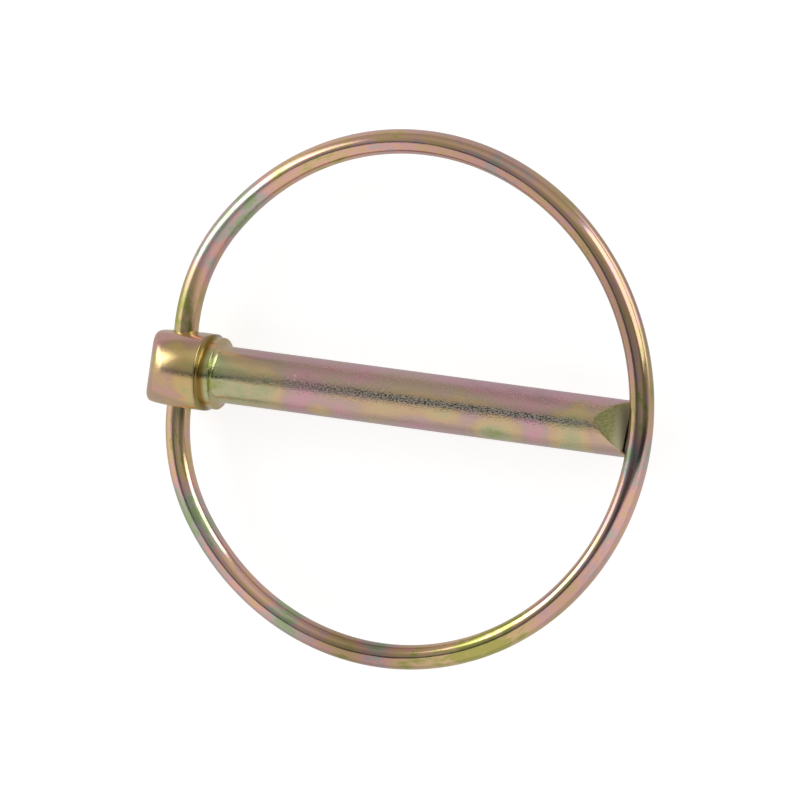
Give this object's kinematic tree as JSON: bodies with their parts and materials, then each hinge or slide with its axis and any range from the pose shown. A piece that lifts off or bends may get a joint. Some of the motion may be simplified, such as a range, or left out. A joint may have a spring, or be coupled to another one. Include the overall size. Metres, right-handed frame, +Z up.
{
  "type": "wire lock clevis pin",
  "caption": "Headed steel clevis pin with a bevelled tip and a round spring-wire ring hinged through its head, which swings over and closes round the tip to hold the pin in place.",
  "frame": {"origin": "centre of the shoulder seat, on the pin's axis, where the shank leaves the collar", "axes": "+X along the pin from the head to the tip, +Y along the head's cross hole, +Z up, on the side that the closed ring stands up toward by 1.8 degrees; the bevel of the tip faces up too, turned 16 degrees toward +Y"},
  "size_m": [0.0914, 0.0902, 0.0146],
  "materials": {
    "pin_plate": "yellow-passivated zinc plate on steel, iridescent gold, olive and pink",
    "ring_plate": "yellow-passivated zinc plate on spring wire, iridescent cream, olive and pink"
  },
  "bodies": {
    "pin": {"clevis_pin": "pin_plate"},
    "ring": {"wire_ring": "ring_plate"}
  },
  "joints": [
    {"name": "ring_swing", "type": "hinge", "parent": "pin", "child": "ring", "pos_m": [-0.00705, 0, 0], "axis": [0, 1, 0], "range_deg": [-180, 180]}
  ]
}
